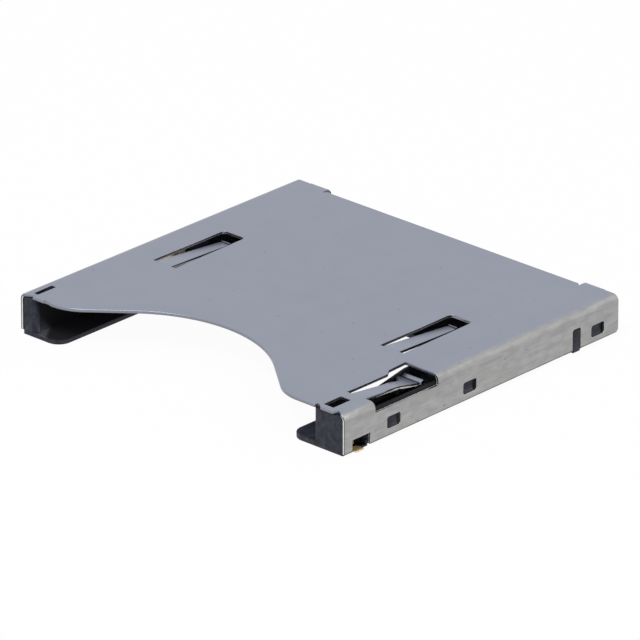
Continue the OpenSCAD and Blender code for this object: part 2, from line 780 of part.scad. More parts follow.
// Heart-shaped groove: in along one lane, into the notch, out by the other lane
module heart_groove() {
    start = [slider_x, pin_y];
    pressed = [slider_x - cam_swing, pin_y - travel];
    top = [slider_x, pin_y - travel];
    notch = [slider_x, pin_y - lock_travel];
    out = [slider_x + cam_swing, pin_y - travel];
    lane(start, pressed, 0);
    lane(pressed, top, 1);
    lane(top, notch, 2);
    lane(top, out, 3);
    lane(out, start, 4);
}

// Plan of the arm whose slanted face meets the card's cut corner
module arm_plan() {
    left = slider_x - slider_w / 2;
    front = slider_end - arm_l;
    bevel = 0.5;
    polygon([[left + lap, front], [left, front], [left - arm_reach, front + arm_reach],
        [left - arm_reach, slider_end - bevel], [left - arm_reach + bevel, slider_end],
        [left + lap, slider_end]]);
}

// Fin along the cam plate's inner edge, which slopes up to the tall part behind it
module fin() {
    top = under - run_fit;
    rear = slider_y + cam_l + lap;
    across(slider_x - slider_w / 2 + fin_t / 2) linear_extrude(fin_t, center = true)
        polygon([[slider_y, cam_top - lap], [slider_y, cam_top], [slider_y + fin_l, top], [rear, top],
            [rear, cam_top - lap]]);
}

module eject_slider() {
    placed(plastic) difference() {
        union() {
            fin();
            translate([slider_x - slider_w / 2, slider_y, slider_z])
                cube([slider_w, slider_l, cam_top - slider_z]);
            translate([slider_x - slider_w / 2, slider_y + cam_l, slider_z])
                cube([slider_w, slider_l - cam_l, under - run_fit - slider_z]);
            translate([0, 0, arm_z]) linear_extrude(arm_h) arm_plan();
        }
        heart_groove();
        block([slider_x - pocket_w / 2, pocket_y, slider_z + pocket_wall],
            [slider_x + pocket_w / 2, slider_end + 1, through]);
    }
}

// Coil whose end turns lie close, as rings of points swept along a helix
module coil(turns, length, r, d, steps = 14, ring = 8) {
    n = turns * steps;
    pitch = (length - d - 2 * d) / (turns - 2);
    rise = function (t) t < 1 ? t * d : t > turns - 1 ? length - d - (turns - t) * d : d + (t - 1) * pitch;
    points = [
        for (i = [0:n], j = [0:ring - 1])
            let (t = i / steps, a = 360 * t, b = 360 * j / ring, reach = r + d / 2 * cos(b))
            [reach * cos(a), d / 2 + rise(t) + d / 2 * sin(b), reach * sin(a)]
    ];
    walls = [
        for (i = [0:n - 1], j = [0:ring - 1])
            let (k = (j + 1) % ring)
            [i * ring + j, (i + 1) * ring + j, (i + 1) * ring + k, i * ring + k]
    ];
    ends = [[for (j = [0:ring - 1]) j], [for (j = [ring - 1:-1:0]) n * ring + j]];
    polyhedron(points, concat(walls, ends));
}

module eject_spring() {
    placed(spring_steel) translate([slider_x, pocket_y + spring_fit / 2, spring_z])
        coil(spring_turns, rear_in - pocket_y - spring_fit, spring_r, spring_d);
}

// Quarter bend of the pin's wire, from upright to level
module pin_bend() {
    rotate([90, 0, 90]) rotate_extrude(angle = 90) translate([pin_bend_r, 0]) circle(pin_d / 2, $fn = 24);
}

module cam_pin() {
    leg_top = pin_z - pin_bend_r;
    placed(spring_steel) translate([slider_x, pivot_y, 0]) {
        translate([0, 0, pivot_floor + run_fit]) cylinder(d = pin_d, h = leg_top - pivot_floor - run_fit);
        translate([0, pin_bend_r, leg_top]) mirror([0, 1, 0]) pin_bend();
        translate([0, pin_bend_r, pin_z]) rotate([-90, 0, 0])
            cylinder(d = pin_d, h = pin_l - 2 * pin_bend_r);
        translate([0, pin_l - pin_bend_r, leg_top]) pin_bend();
        translate([0, pin_l, pin_foot]) cylinder(d = pin_d, h = leg_top - pin_foot);
    }
}

shell();
housing();
for (k = [1:9]) contact(k);
placed(gold) switch_spring(protect_y);  // protect_spring
placed(gold) switch_terminal(protect_y);  // protect_terminal
placed(gold) switch_spring(detect_y);  // detect_spring
placed(gold) switch_terminal(detect_y);  // detect_terminal
placed(gold) nail_blank();  // nail_right
placed(gold) mirror([1, 0, 0]) nail_blank();  // nail_left
eject_slider();
eject_spring();
cam_pin();
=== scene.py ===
from math import cos, pi, radians, sin

import bmesh
import bpy
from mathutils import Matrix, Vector
from mathutils.bvhtree import BVHTree


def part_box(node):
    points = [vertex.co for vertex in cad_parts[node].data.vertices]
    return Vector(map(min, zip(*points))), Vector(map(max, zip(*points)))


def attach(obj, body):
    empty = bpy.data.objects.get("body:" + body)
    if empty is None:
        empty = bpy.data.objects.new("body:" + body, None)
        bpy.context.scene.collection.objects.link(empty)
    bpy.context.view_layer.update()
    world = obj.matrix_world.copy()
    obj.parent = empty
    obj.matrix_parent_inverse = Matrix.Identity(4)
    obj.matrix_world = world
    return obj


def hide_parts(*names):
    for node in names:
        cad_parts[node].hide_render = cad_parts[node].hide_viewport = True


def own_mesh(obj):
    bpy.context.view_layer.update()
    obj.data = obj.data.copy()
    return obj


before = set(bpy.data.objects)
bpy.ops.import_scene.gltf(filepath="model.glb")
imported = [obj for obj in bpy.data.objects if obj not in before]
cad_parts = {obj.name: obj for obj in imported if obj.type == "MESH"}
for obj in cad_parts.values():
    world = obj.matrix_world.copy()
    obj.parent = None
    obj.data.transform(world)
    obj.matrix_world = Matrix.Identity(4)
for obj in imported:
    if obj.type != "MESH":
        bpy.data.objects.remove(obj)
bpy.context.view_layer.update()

# Table and light: the socket lies on a white table that runs out of the picture. One soft lamp hangs high
# in front, so that it shines in under the shell's mouth, and a weak warm one stands on the right.
MM = 0.001
scene = bpy.context.scene
scene.view_settings.view_transform = "Standard"


class Wire:
    """One socket of a node tree. Arithmetic on wires adds Math nodes to the tree."""

    def __init__(self, tree, socket=None):
        self.tree, self.socket = tree, socket

    def node(self, kind, settings=None, values=None, out=0):
        """Adds a node, with its settings first and then the values or wires of its sockets."""
        made = self.tree.nodes.new(kind)
        for name, setting in (settings or {}).items():
            setattr(made, name, setting)
        for name, value in (values or {}).items():
            self.feed(made.inputs[name], value)
        return Wire(self.tree, made.outputs[out] if made.outputs else None)

    def feed(self, socket, value):
        """Links a wire to a socket, or sets the socket's own value."""
        if isinstance(value, Wire):
            self.tree.links.new(value.socket, socket)
        else:
            socket.default_value = value

    def math(self, operation, *values):
        return self.node("ShaderNodeMath", {"operation": operation}, dict(enumerate(values)))

    def __add__(self, other):
        return self.math("ADD", self, other)

    def __sub__(self, other):
        return self.math("SUBTRACT", self, other)

    def __rsub__(self, other):
        return self.math("SUBTRACT", other, self)

    def __mul__(self, other):
        return self.math("MULTIPLY", self, other)

    __radd__, __rmul__ = __add__, __mul__


def looked_at(draw):
    """1 for rays that show the surroundings or their reflection, 0 for rays that only carry light."""
    rays = [draw.node("ShaderNodeLightPath", out=f"Is {kind} Ray")
            for kind in ("Camera", "Glossy", "Transmission")]
    return rays[0] + rays[1] + rays[2]


def soft_lamp(name, size, place, power, colour):
    """Square lamp at a place in metres, turned to the socket."""
    lamp = bpy.data.objects.new(name, bpy.data.lights.new(name, "AREA"))
    lamp.data.size, lamp.data.energy, lamp.data.color = size, power, colour
    lamp.location = place
    lamp.rotation_euler = (-Vector(place)).to_track_quat("-Z", "Y").to_euler()
    scene.collection.objects.link(lamp)


eye = Vector((358.31, -384.965, 231.62)) * MM
azimuth, elevation = radians(42.966), radians(23.688)
toward_eye = Vector((sin(azimuth) * cos(elevation), -cos(azimuth) * cos(elevation), sin(elevation)))
camera = bpy.data.objects.new("camera", bpy.data.cameras.new("camera"))
camera.location = eye
camera.rotation_euler = (-toward_eye).to_track_quat("-Z", "Y").to_euler()
camera.data.sensor_width, camera.data.lens = 36, 506.25
camera.data.clip_start, camera.data.clip_end = 0.01, 10
scene.collection.objects.link(camera)
scene.camera = camera

room_fill = 0.5
scene.world = bpy.data.worlds.new("white_room")
scene.world.use_nodes = True
room = Wire(scene.world.node_tree)
air = scene.world.node_tree.nodes["Background"]
air.inputs["Color"].default_value = (1, 1, 1, 1)
room.feed(air.inputs["Strength"], looked_at(room) * (1 - room_fill) + room_fill)

soft_lamp("front_lamp", 0.22, (0.06, -0.32, 0.52), 1.7, (0.97, 0.98, 1))
soft_lamp("side_lamp", 0.4, (0.5, 0.12, 0.5), 0.8, (1, 0.97, 0.93))

table_half, table_drop, table_glow = 3, 0.01 * MM, 0.96
corners = [(x * table_half, y * table_half, -table_drop) for x, y in ((-1, -1), (1, -1), (1, 1), (-1, 1))]
table_mesh = bpy.data.meshes.new("table")
table_mesh.from_pydata(corners, [], [(0, 1, 2, 3)])
table = bpy.data.objects.new("table", table_mesh)
scene.collection.objects.link(table)
white_table = bpy.data.materials.new("white_table")
white_table.use_nodes = True
white_table.node_tree.nodes.remove(white_table.node_tree.nodes["Principled BSDF"])
draw = Wire(white_table.node_tree)
matt = draw.node("ShaderNodeBsdfDiffuse", values={"Color": (0.9, 0.9, 0.9, 1)})
glow = draw.node("ShaderNodeEmission", values={"Color": (1, 1, 1, 1), "Strength": 1})
surface = draw.node("ShaderNodeMixShader", values={0: looked_at(draw) * table_glow, 1: matt, 2: glow})
draw.feed(white_table.node_tree.nodes["Material Output"].inputs["Surface"], surface)
table_mesh.materials.append(white_table)

# Housing: one black moulding of glass-filled polymer, with side rails, front blocks, floor flanges and
# the contact block at the rear. The mould's eroded walls leave it matt, and handling scuffs it pale.


def placed_piece(name, mesh, nodes, body):
    """Puts a finished mesh in the scene as a piece that stands for CAD nodes and rides with their body."""
    piece = bpy.data.objects.new(name, mesh)
    scene.collection.objects.link(piece)
    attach(piece, body)
    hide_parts(*nodes)
    return piece


def settled(piece):
    """Plain mesh of an object as its modifiers leave it. The object itself is taken away."""
    bpy.context.view_layer.update()
    mesh = bpy.data.meshes.new_from_object(piece.evaluated_get(bpy.context.evaluated_depsgraph_get()))
    bpy.data.objects.remove(piece)
    return mesh


def eased(form, name, finishes, edge_r, share=lambda edge: 1.0, trim=lambda form: None):
    """Mesh of a welded form: flats joined, the form trimmed, sharp edges rounded by a share of edge_r."""
    flat_angle, sharp_angle, round_steps = radians(0.5), radians(35), 2
    bmesh.ops.dissolve_limit(form, angle_limit=flat_angle, verts=form.verts, edges=form.edges,
                             delimit={"MATERIAL"})
    trim(form)
    rounded = form.edges.layers.float.new("bevel_weight_edge")
    for edge in form.edges:
        edge[rounded] = share(edge) if edge.calc_face_angle(0) > sharp_angle else 0
    mesh = bpy.data.meshes.new(name)
    form.to_mesh(mesh)
    form.free()
    mesh.shade_smooth()
    for finish in finishes:
        mesh.materials.append(finish)
    blank = bpy.data.objects.new(name + "_blank", mesh)
    scene.collection.objects.link(blank)
    rounding = blank.modifiers.new("rounding", "BEVEL")
    rounding.width, rounding.segments, rounding.material = edge_r, round_steps, 0
    rounding.limit_method, rounding.use_clamp_overlap = "WEIGHT", False
    flats = blank.modifiers.new("flats", "WEIGHTED_NORMAL")
    flats.weight = 100
    mesh = settled(blank)
    mesh.name = name
    return mesh


def welded(node):
    """Form of a CAD node with its loose triangles joined."""
    form = bmesh.new()
    form.from_mesh(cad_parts[node].data)
    bmesh.ops.remove_doubles(form, verts=form.verts, dist=0.0001 * MM)
    return form


def new_finish(name):
    """Empty material: its shader, its tree to draw nodes in, and the place on the piece."""
    finish = bpy.data.materials.new(name)
    finish.use_nodes = True
    draw = Wire(finish.node_tree)
    place = draw.node("ShaderNodeTexCoord", out="Object")
    return finish, finish.node_tree.nodes["Principled BSDF"], draw, place


def noise(draw, place, grain, stretch=(1, 1, 1), detail=3.0):
    """Cloudy noise whose patches are about grain wide, drawn out along the axes by stretch."""
    scale = [1 / (grain * s) for s in stretch]
    spread = draw.node("ShaderNodeVectorMath", {"operation": "MULTIPLY"}, {0: place, 1: scale})
    return draw.node("ShaderNodeTexNoise", values={"Vector": spread, "Scale": 1, "Detail": detail})


def rise(draw, value, low, high):
    """0 below low, 1 above high, with a soft slope between."""
    return draw.node("ShaderNodeMapRange", {"interpolation_type": "SMOOTHSTEP"},
                     {"Value": value, "From Min": low, "From Max": high})


def tint(draw, share, colour, other):
    """Colour that goes over into the other one by a share from 0 to 1."""
    return draw.node("ShaderNodeMix", {"data_type": "RGBA"}, {0: share, 6: colour, 7: other}, out=2)


def roughen(draw, shader, height, depth, strength):
    """Bumps of a depth in metres on a shader's surface."""
    draw.feed(shader.inputs["Normal"], draw.node(
        "ShaderNodeBump", values={"Height": height, "Distance": depth, "Strength": strength}))


def moulded_finish(name, dark, pale, gloss, sill, slot):
    """Matt black polymer with eroded grain, cloudy flow marks along the mould, and pale scuffs. The sill,
    past one corner and below a height, is dull and black with painted shade. The slot's left rail and floor
    are dull and painted black shade past a slanted plane, and carry a painted pool of light before it."""
    finish, shader, draw, place = new_finish(name)
    # Tones: real scuffs, a painted light tone, and a painted shade tone.
    scuff_tone, painted_light_tone, painted_shade_tone = (
        (0.085, 0.09, 0.108, 1), (0.12, 0.12, 0.13, 1), (0.003, 0.003, 0.0045, 1))
    axes = [draw.node("ShaderNodeSeparateXYZ", values={"Vector": place}, out=axis) for axis in "XYZ"]
    corner, top, edge = *sill, 0.05 * MM
    # Painted shade: the sill past its corner and below its top is painted black.
    painted_shade = 1 - rise(draw, axes[2], top, top + edge)
    for axis, start in zip(axes, corner):
        painted_shade = painted_shade * rise(draw, axis, start, start + edge)
    slant, level, floor_z, wall_x, floor_x = slot
    reach = draw.node("ShaderNodeVectorMath", {"operation": "DOT_PRODUCT"}, {0: place, 1: slant}, out="Value")
    soft, floor_fade, rear_fade = 0.3 * MM, 2 * MM, 2 * MM
    inside = rise(draw, axes[0], wall_x - soft, wall_x)
    inside = inside * (1 - rise(draw, axes[0], floor_x, floor_x + floor_fade))
    inside = inside * rise(draw, axes[2], floor_z - 0.1 * MM, floor_z)
    inside = inside * (1 - rise(draw, axes[1], -rear_fade, rear_fade))
    past = rise(draw, reach, level - soft, level + soft)
    # Painted shade: the slot's left rail and floor past the slanted plane are painted black too.
    painted_shade = painted_shade + inside * past
    low_down = 1 - rise(draw, axes[2], floor_z + 0.1 * MM, floor_z + 0.6 * MM)
    # Painted light: a pale pool of light on the slot's floor, just before the slanted plane.
    painted_light_patch = inside * low_down * rise(draw, reach, level - 1.3 * MM, level - 0.7 * MM) * (1 - past)
    grain = noise(draw, place, 0.07 * MM, detail=2.0)
    flow = noise(draw, place, 0.4 * MM, stretch=(1, 3, 1))
    rubbed = rise(draw, noise(draw, place, 0.8 * MM), 0.45, 0.65)
    specks = rise(draw, noise(draw, place, 0.26 * MM, detail=2.0), 0.5, 0.72)
    scuffs = rubbed * specks
    body = tint(draw, rise(draw, flow * 0.75 + grain * 0.25, 0.35, 0.65), dark, pale)
    body = tint(draw, scuffs * 0.6, body, scuff_tone)
    body = tint(draw, painted_light_patch * (0.55 + specks * 0.45), body, painted_light_tone)
    draw.feed(shader.inputs["Base Color"], tint(draw, painted_shade, body, painted_shade_tone))
    draw.feed(shader.inputs["Roughness"], grain * 0.2 + scuffs * 0.1 + gloss + painted_shade * 0.4)
    shader.inputs["Specular IOR Level"].default_value = 0.34
    roughen(draw, shader, grain, 0.006 * MM, 0.6)
    return finish


# Where the mouldings carry painted shade: the sill past this corner and below this top, and the slot's left
# rail and floor past the slanted plane, with a painted pool of light before it.
sill_corner, sill_top = (13.3 * MM, -10.5 * MM, 2.1 * MM), 2.3 * MM
slot_slant, slot_level = (1.45, 1, 0.92), -29.95 * MM
slot_floor_z, slot_wall_x, slot_floor_x = 0.35 * MM, -12.75 * MM, -10.7 * MM
sill = sill_corner, sill_top
slot = slot_slant, slot_level, slot_floor_z, slot_wall_x, slot_floor_x
black_moulding = moulded_finish(
    "black_moulding", (0.002, 0.003, 0.008, 1), (0.021, 0.025, 0.042, 1), 0.42, sill, slot)
housing_edge_r, near = 0.035 * MM, 0.01 * MM
flanges, flange_trim = ((-10.8 * MM, 1), (9.5 * MM, -1)), 0.09 * MM
flange_r, flange_y, flange_end, flange_top = 0.95 * MM, -12.155 * MM, 6 * MM, 0.4 * MM
block_x, block_y = 11 * MM, -10.535 * MM
pocket_x, hood_z, hood_l = 11.67 * MM, 1.75 * MM, 0.22 * MM


def behind_block(form):
    """Faces of the right front block that look to the rear."""
    found = []
    for face in form.faces:
        middle = face.calc_center_median()
        if face.normal.y > 0.99 and middle.x > block_x and abs(middle.y - block_y) < near:
            found.append(face)
    return found


def widen_flanges(form):
    """Moves the floor flanges' inner edges and round corners towards the middle of the slot."""
    for vert in form.verts:
        for edge_x, way in flanges:
            corner = Vector((edge_x - way * flange_r, flange_y, vert.co.z))
            on_corner = abs((vert.co - corner).length - flange_r) < near and vert.co.y < flange_y
            on_edge = abs(vert.co.x - edge_x) < near and vert.co.y < flange_end
            if vert.co.z < flange_top and (on_corner or on_edge):
                vert.co.x += way * flange_trim


def draw_hood(form):
    """Draws out the thin wall beside the pin's pocket into a short hood over the slider's front."""
    for cut, way in (((pocket_x, 0, 0), (1, 0, 0)), ((0, 0, hood_z), (0, 0, 1))):
        faces = behind_block(form)
        rims = {part for face in faces for part in (*face.edges, *face.verts)}
        bmesh.ops.bisect_plane(form, geom=[*faces, *rims], plane_co=cut, plane_no=way)
    hood = [face for face in behind_block(form) if face.calc_center_median().x < pocket_x
            and face.calc_center_median().z > hood_z]
    for part in bmesh.ops.extrude_discrete_faces(form, faces=hood)["faces"]:
        bmesh.ops.translate(form, verts=part.verts, vec=(0, hood_l, 0))


def housing_trim(form):
    """Both changes to the housing's form."""
    widen_flanges(form)
    draw_hood(form)


housing_mesh = eased(
    welded("housing"), "housing_moulding", [black_moulding], housing_edge_r, trim=housing_trim)
placed_piece("housing_moulding", housing_mesh, ["housing"], "socket")

# Contacts: nine strips stamped from phosphor bronze, formed over a tool and plated with gold. Each is
# held in the rear wall, rises in a beam to a crowned contact point, and ends outside in a solder tail.


def new_rule(name, sizes):
    """Empty Geometry Nodes tree with named sizes, and the wires that carry what it is given."""
    rule = bpy.data.node_groups.new(name, "GeometryNodeTree")
    rule.interface.new_socket("Path", in_out="INPUT", socket_type="NodeSocketGeometry")
    for size in sizes:
        rule.interface.new_socket(size, in_out="INPUT", socket_type="NodeSocketFloat")
    rule.interface.new_socket("Finish", in_out="INPUT", socket_type="NodeSocketMaterial")
    rule.interface.new_socket("Piece", in_out="OUTPUT", socket_type="NodeSocketGeometry")
    given = rule.nodes.new("NodeGroupInput")
    return rule, Wire(rule), {socket.name: Wire(rule, socket) for socket in given.outputs}


def end_rule(draw, made, given):
    """Closes a tree: its instances made real, its finish set and its piece handed out."""
    made = draw.node("GeometryNodeRealizeInstances", values={"Geometry": made})
    made = draw.node("GeometryNodeSetMaterial", values={"Geometry": made, "Material": given["Finish"]})
    draw.node("NodeGroupOutput", values={"Piece": made})


def swept(draw, given, section):
    """Section carried along the given path, whose corners are bent to the path's own radii."""
    bend = draw.node("GeometryNodeInputNamedAttribute", {"data_type": "FLOAT"}, {"Name": "bend"})
    path = draw.node("GeometryNodeMeshToCurve", values={"Mesh": given["Path"]})
    path = draw.node("GeometryNodeFilletCurve", {"mode": "POLY"},
                     {"Curve": path, "Radius": bend, "Count": 8, "Limit Radius": True})
    return draw.node("GeometryNodeCurveToMesh",
                     values={"Curve": path, "Profile Curve": section, "Fill Caps": True})


def by_rule(name, rule, sizes, path=((0, 0, 0),), bends=(0,)):
    """Plain mesh that a tree makes from its sizes and a path of points in metres with a bend at each."""
    crease_angle = radians(40)
    line = bpy.data.meshes.new(name + "_path")
    line.from_pydata(path, [(i, i + 1) for i in range(len(path) - 1)], [])
    line.attributes.new("bend", "FLOAT", "POINT").data.foreach_set("value", bends)
    blank = bpy.data.objects.new(name + "_blank", line)
    scene.collection.objects.link(blank)
    making = blank.modifiers.new(name, "NODES")
    making.node_group = rule
    for socket in rule.interface.items_tree:
        if socket.name in sizes:
            making[socket.identifier] = sizes[socket.name]
    mesh = settled(blank)
    mesh.name = name
    mesh.shade_smooth()
    mesh.set_sharp_from_angle(angle=crease_angle)
    return mesh


strip_rule, draw, given = new_rule("formed_strip", ("Width", "Thickness", "Edge radius"))
section = draw.node("GeometryNodeCurvePrimitiveQuadrilateral", {"mode": "RECTANGLE"},
                    {"Width": given["Width"], "Height": given["Thickness"]})
section = draw.node("GeometryNodeFilletCurve", {"mode": "POLY"},
                    {"Curve": section, "Radius": given["Edge radius"], "Count": 3})
end_rule(draw, swept(draw, given, section), given)


def plated_finish(name, bright, wear_and_shade, dullness):
    """Gold over nickel: brushed along the strip, duller in patches, with a grain of its own."""
    finish, shader, draw, place = new_finish(name)
    patches = rise(draw, noise(draw, place, 0.6 * MM), 0.4, 0.7)
    brushed = noise(draw, place, 0.03 * MM, stretch=(1, 14, 1), detail=2.0)
    draw.feed(shader.inputs["Base Color"], tint(draw, patches * 0.7 + brushed * 0.2, bright, wear_and_shade))
    draw.feed(shader.inputs["Roughness"], patches * 0.12 + brushed * 0.14 + dullness)
    shader.inputs["Metallic"].default_value = 1
    roughen(draw, shader, brushed, 0.002 * MM, 0.5)
    return finish


gold_plate = plated_finish("gold_plate", (0.8, 0.65, 0.36, 1), (0.5, 0.37, 0.17, 1), 0.14)
strip_t, strip_bend, strip_edge = 0.15 * MM, 0.17 * MM, 0.03 * MM
rear_wall_t, root_z, crest_z, tip_l, tip_slope = 0.8 * MM, 0.52 * MM, 1.6 * MM, 0.75 * MM, 0.67
rear_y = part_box("housing")[1].y
for k in range(1, 10):
    low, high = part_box(f"contact_{k}")
    x, tail_z, riser_y = (low.x + high.x) / 2, strip_t / 2, rear_y - rear_wall_t / 2
    crest_y = low.y + tip_l + strip_t / 2 * tip_slope / (1 + tip_slope**2) ** 0.5
    route = [(high.y, tail_z), (riser_y, tail_z), (riser_y, root_z),
             (rear_y - rear_wall_t - 3 * strip_t, root_z), (crest_y, crest_z),
             (crest_y - tip_l, crest_z - tip_l * tip_slope)]
    bends = [strip_bend * b for b in (0, 1, 1, 4.7, 2.4, 0)]
    strip = by_rule(f"contact_strip_{k}", strip_rule,
                    {"Width": high.x - low.x, "Thickness": strip_t, "Edge radius": strip_edge,
                     "Finish": gold_plate}, [(x, y, z) for y, z in route], bends)
    placed_piece(f"contact_strip_{k}", strip, [f"contact_{k}"], "socket")

# Switches and solder nails: each of the two switches in the left rail is a bowed spring and a flat
# terminal, and a nail stands in each front block. All are plated strip, with legs bent under the walls.
matt_plate = plated_finish("matt_plate", (0.85, 0.7, 0.42, 1), (0.62, 0.47, 0.24, 1), 0.42)
leaf_edge_r = 0.02 * MM
leaves = {"protect_spring": "protect_spring_leaf", "protect_terminal": "protect_terminal_leaf",
          "detect_spring": "detect_spring_leaf", "detect_terminal": "detect_terminal_leaf",
          "nail_right": "solder_nail_right", "nail_left": "solder_nail_left"}
for node, name in leaves.items():
    placed_piece(name, eased(welded(node), name, [matt_plate], leaf_edge_r), [node], "socket")

# Eject slider: a black moulding that runs in the right channel. Its heart-shaped groove leads the cam
# pin, and its arm meets the card's cut corner. It is smoother than the housing, because it has to run.
# The slider carries the same painted shade and painted light as the housing in these places.
slick_moulding = moulded_finish(
    "slick_moulding", (0.005, 0.005, 0.008, 1), (0.016, 0.017, 0.024, 1), 0.34, sill, slot)
slider_edge_r = 0.03 * MM
slider_mesh = eased(welded("eject_slider"), "eject_slider_moulding", [slick_moulding], slider_edge_r)
placed_piece("eject_slider_moulding", slider_mesh, ["eject_slider"], "slider")

# Eject spring: drawn stainless wire, coiled with closed end turns. It sits in the slider's pocket, over
# a peg on the housing's rear wall, and pushes the slider and the card out.


def drawn_finish(name, bright, dull, painted_shade_span):
    """Drawn wire: grey steel with fine die lines and a faint film of oil. It is painted black shade in front
    of the first of two places along the socket, and free of it behind the second."""
    finish, shader, draw, place = new_finish(name)
    painted_shade_tone = (0.012, 0.012, 0.013, 1)
    lines = noise(draw, place, 0.02 * MM, stretch=(1, 6, 1), detail=2.0)
    film = rise(draw, noise(draw, place, 0.5 * MM), 0.35, 0.7)
    along = draw.node("ShaderNodeSeparateXYZ", values={"Vector": place}, out="Y")
    # Painted shade: the wire is painted black in front of the first place.
    unshaded = rise(draw, along, *painted_shade_span)
    steel = tint(draw, lines * 0.4 + film * 0.5, bright, dull)
    draw.feed(shader.inputs["Base Color"], tint(draw, unshaded, painted_shade_tone, steel))
    draw.feed(shader.inputs["Roughness"], lines * 0.15 + film * 0.12 + 0.5 - unshaded * 0.36)
    shader.inputs["Metallic"].default_value = 1
    roughen(draw, shader, lines, 0.001 * MM, 0.4)
    return finish


# Painted shade: this wire is painted black on the cam pin's front, before y = -7 mm.
spring_wire = drawn_finish(
    "spring_wire", (0.56, 0.57, 0.58, 1), (0.36, 0.36, 0.37, 1), (-7 * MM, -6.2 * MM))
coil_rule, draw, given = new_rule(
    "closed_coil", ("Turns", "Length", "Coil radius", "Wire", "Front", "Axis x", "Axis z"))
points_per_turn = 36
turn = draw.node("GeometryNodeSplineParameter", out="Factor") * given["Turns"]
wire, body_turns = given["Wire"], given["Turns"] - 2
pitch = draw.math("DIVIDE", given["Length"] - 3 * wire, body_turns)
first = draw.math("MINIMUM", turn, 1)
last = draw.math("MAXIMUM", turn - given["Turns"] + 1, 0)
advance = (first + last) * wire + (turn - first - last) * pitch
angle = turn * (2 * pi)
point = draw.node("ShaderNodeCombineXYZ", values={
    "X": given["Axis x"] + given["Coil radius"] * draw.math("COSINE", angle),
    "Y": given["Front"] + wire * 0.5 + advance,
    "Z": given["Axis z"] + given["Coil radius"] * draw.math("SINE", angle)})
helix = draw.node("GeometryNodeCurvePrimitiveLine")
helix = draw.node("GeometryNodeResampleCurve",
                  values={"Curve": helix, "Count": given["Turns"] * points_per_turn})
helix = draw.node("GeometryNodeSetPosition", values={"Geometry": helix, "Position": point})
section = draw.node("GeometryNodeCurvePrimitiveCircle", {"mode": "RADIUS"},
                    {"Resolution": 12, "Radius": wire * 0.5})
coil = draw.node("GeometryNodeCurveToMesh",
                 values={"Curve": helix, "Profile Curve": section, "Fill Caps": True})
end_rule(draw, coil, given)

low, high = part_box("eject_spring")
spring_turns, spring_d, pocket_gap = 17, 0.2 * MM, 0.025 * MM
seat = Vector(((low.x + high.x) / 2, rear_y - rear_wall_t, (low.z + high.z) / 2))
spring_mesh = by_rule("eject_coil", coil_rule, {
    "Turns": spring_turns, "Length": high.y - low.y, "Coil radius": (high.x - low.x - spring_d) / 2,
    "Wire": spring_d, "Front": low.y, "Axis x": seat.x, "Axis z": seat.z, "Finish": spring_wire})
spring = placed_piece("eject_coil", spring_mesh, ["eject_spring"], "socket")
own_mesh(spring)

# Cam pin: a short length of hard wire with both ends bent down. One end turns in the right front block,
# and the other rides in the slider's heart-shaped groove, held down by the shell's finger.
wire_rule, draw, given = new_rule("bent_wire", ("Wire",))
section = draw.node("GeometryNodeCurvePrimitiveCircle", {"mode": "RADIUS"},
                    {"Resolution": 24, "Radius": given["Wire"] * 0.5})
end_rule(draw, swept(draw, given, section), given)
low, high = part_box("cam_pin")
pin_d, pin_bend_r, pin_end_z = 0.4 * MM, 0.34 * MM, 1.15 * MM
x, pin_z = (low.x + high.x) / 2, high.z - pin_d / 2
pivot_y, groove_y = low.y + pin_d / 2, high.y - pin_d / 2
route = [(x, pivot_y, low.z), (x, pivot_y, pin_z), (x, groove_y, pin_z), (x, groove_y, pin_end_z)]
pin_mesh = by_rule("cam_pin_wire", wire_rule, {"Wire": pin_d, "Finish": spring_wire},
                   route, (0, pin_bend_r, pin_bend_r, 0))
placed_piece("cam_pin_wire", pin_mesh, ["cam_pin"], "pin")

# Shell: one blank of cold-rolled stainless sheet, punched with its mouth, tongues, finger and windows and
# bent down on both sides, so that it snaps over the housing's lugs. The punch leaves each cut edge with a
# burnished band above a torn one.
# Painted black shade on the finger's side and its cut edge.
shade_black = (0.012, 0.012, 0.014, 1)


def cut_edges(form, sheet_t, plate_z, finger):
    """Gives each cut face the second finish, and marks four things at its corners: how deep in the cut they
    lie, whether the cut faces the front, how far the finger's side carries painted shade near its root, and
    where that side carries painted black shade beyond."""
    solid = BVHTree.FromBMesh(form)
    depth, front, root_shade, wear_and_shade = [
        form.loops.layers.float.new(mark) for mark in ("depth", "front", "root_shade", "wear_and_shade")]
    side_x, root_y, clear_y, finger_l = finger
    just_inside, past_sheet, lean = 0.02 * sheet_t, 1.5 * sheet_t, 0.25
    for face in form.faces:
        start = face.calc_center_median() - face.normal * just_inside
        through = solid.ray_cast(start, -face.normal)[3]
        face.material_index = 1 if through is None or through > past_sheet else 0
    for face in form.faces:
        for loop in face.loops:
            skins = [f for f in loop.vert.link_faces if f.material_index == 0]
            place = loop.vert.co
            outer = any(f.normal.z > lean or f.normal.x * place.x > lean * abs(place.x) or f.normal.y > lean
                        for f in skins)
            loop[depth] = 0 if outer else 1
            on_plate = place.z > plate_z - 1.1 * sheet_t
            loop[front] = 1 if face.normal.z > 0.5 or on_plate and face.normal.y < -0.3 else 0
            # Painted shade marks on the finger's side: deeper near its root, black beyond.
            if abs(place.x - side_x) < 0.1 * sheet_t:
                if place.y < clear_y:
                    loop[root_shade] = min((clear_y - place.y) / (clear_y - root_y), 1)
                elif place.y < root_y + finger_l:
                    loop[wear_and_shade] = 1


